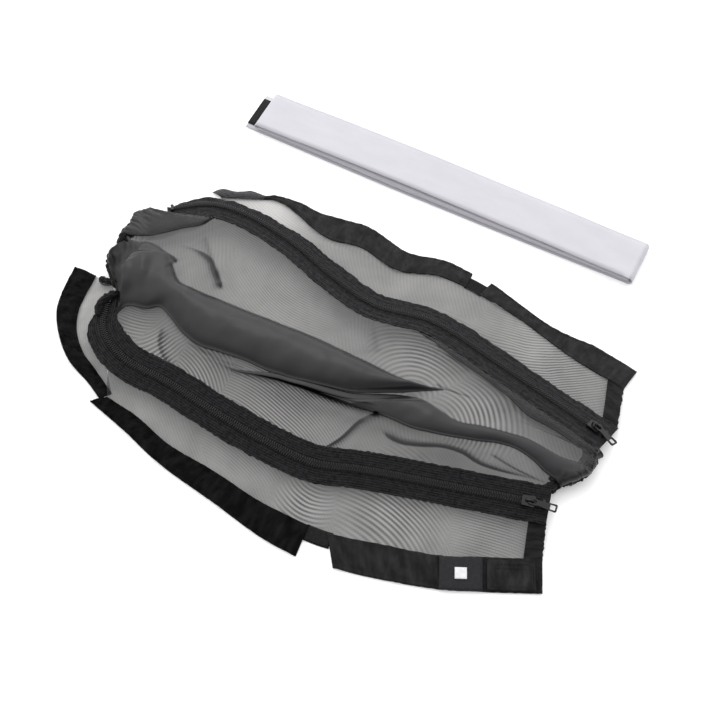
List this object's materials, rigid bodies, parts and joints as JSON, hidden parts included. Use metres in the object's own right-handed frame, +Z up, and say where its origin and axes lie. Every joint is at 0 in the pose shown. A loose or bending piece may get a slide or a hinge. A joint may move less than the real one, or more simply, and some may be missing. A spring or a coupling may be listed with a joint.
{
  "type": "fly sheet",
  "caption": "Small sheer mesh fly sheet with zips along both sides, a hook-and-loop hem, elastic-gathered ends and a folded strip of self-adhesive hook tape.",
  "frame": {"origin": "under the middle of the whole set's box, on the surface that it lies on", "axes": "+Z up; +X along the sheet, towards the end where both zips close; +Y towards the folded strip"},
  "size_m": [0.4657, 0.3882, 0.0275],
  "materials": {
    "sheer_mesh": "sheer woven polyester mesh, slight sheen",
    "folded_mesh": "the same mesh in several layers, gathered or turned",
    "zip_tape": "ribbed woven tape",
    "zip_coil": "nylon coil",
    "zip_metal": "black enamel, worn at the edges",
    "hem_tape": "satin-backed loop tape",
    "label_weave": "woven label",
    "elastic_band": "covered elastic",
    "hook_tape": "nylon hooks",
    "liner": "waxed paper release liner, satin"
  },
  "bodies": {
    "sheet": {"centre_panel": "sheer_mesh", "front_side_panel": "sheer_mesh", "back_side_panel": "sheer_mesh", "left_end_panel": "sheer_mesh", "front_end_hem": "folded_mesh", "back_end_hem": "folded_mesh", "front_zip_inner_tape": "zip_tape", "front_zip_inner_coil": "zip_coil", "front_zip_inner_top_stop": "zip_metal", "front_zip_outer_tape": "zip_tape", "front_zip_outer_coil": "zip_coil", "front_zip_outer_top_stop": "zip_metal", "front_zip_bottom_stop": "zip_metal", "back_zip_inner_tape": "zip_tape", "back_zip_inner_coil": "zip_coil", "back_zip_inner_top_stop": "zip_metal", "back_zip_outer_tape": "zip_tape", "back_zip_outer_coil": "zip_coil", "back_zip_outer_top_stop": "zip_metal", "back_zip_bottom_stop": "zip_metal", "left_end_hem_tape": "hem_tape", "front_hem_tape_left": "hem_tape", "front_hem_tape_right": "hem_tape", "back_hem_tape_left": "hem_tape", "back_hem_tape_right": "hem_tape", "front_turned_hem": "folded_mesh", "back_turned_hem": "folded_mesh", "size_label": "label_weave", "corner_patch": "hem_tape", "left_gather_casing": "folded_mesh", "right_gather_casing": "folded_mesh", "left_elastic": "elastic_band", "right_elastic": "elastic_band"},
    "front_slider": {"front_zip_slider": "zip_metal"},
    "front_pull": {"front_zip_pull_tab": "zip_metal"},
    "back_slider": {"back_zip_slider": "zip_metal"},
    "back_pull": {"back_zip_pull_tab": "zip_metal"},
    "strip": {"hook_tape": "hook_tape", "release_liner": "liner"}
  },
  "joints": [
    {"name": "front_zip_slide", "type": "slide", "parent": "sheet", "child": "front_slider", "axis": [0.9788, 0.2046, 0], "range_m": [-0.08, 0.003]},
    {"name": "front_pull_flip", "type": "hinge", "parent": "front_slider", "child": "front_pull", "pos_m": [0.18823, -0.08726, 0.01514], "axis": [0.2001, -0.9575, -0.2079], "range_deg": [0, 180]},
    {"name": "back_zip_slide", "type": "slide", "parent": "sheet", "child": "back_slider", "axis": [0.966, -0.2587, 0], "range_m": [-0.08, 0.003]},
    {"name": "back_pull_flip", "type": "hinge", "parent": "back_slider", "child": "back_pull", "pos_m": [0.21208, -0.00688, 0.01505], "axis": [-0.2487, -0.9285, 0.2756], "range_deg": [0, 180]},
    {"name": "strip_lift", "type": "slide", "parent": "sheet", "child": "strip", "axis": [0, 0, 1], "range_m": [0, 0.15]}
  ]
}
